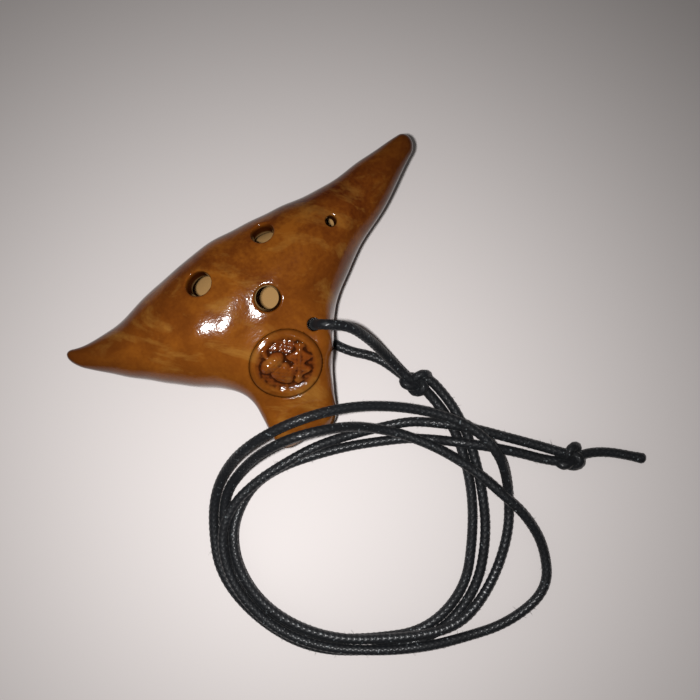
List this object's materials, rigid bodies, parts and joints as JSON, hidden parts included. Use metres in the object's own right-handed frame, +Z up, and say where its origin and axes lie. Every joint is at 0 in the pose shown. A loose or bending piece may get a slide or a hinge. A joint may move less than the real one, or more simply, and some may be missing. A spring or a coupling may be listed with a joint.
{
  "type": "ocarina",
  "caption": "Small glazed clay vessel flute with a flat-topped mouthpiece, finger holes and a stamped medallion, on a knotted waxed neck cord lying in two loose turns.",
  "frame": {"origin": "middle of the clay body's box, on the surface it lies on", "axes": "+X from the left wing tip to the right one, +Y away from the mouthpiece, +Z up"},
  "size_m": [0.1102, 0.1222, 0.0253],
  "materials": {
    "glazed_clay": "gloss",
    "waxed_cord": "waxed braid"
  },
  "bodies": {
    "root": {"upper_shell": "glazed_clay", "lower_shell": "glazed_clay", "mouthpiece": "glazed_clay", "medallion": "glazed_clay", "upper_leg": "waxed_cord", "lower_leg": "waxed_cord", "strand_a": "waxed_cord", "strand_b": "waxed_cord", "cord_tail": "waxed_cord", "loop_knot": "waxed_cord", "end_knot": "waxed_cord"}
  },
  "joints": []
}
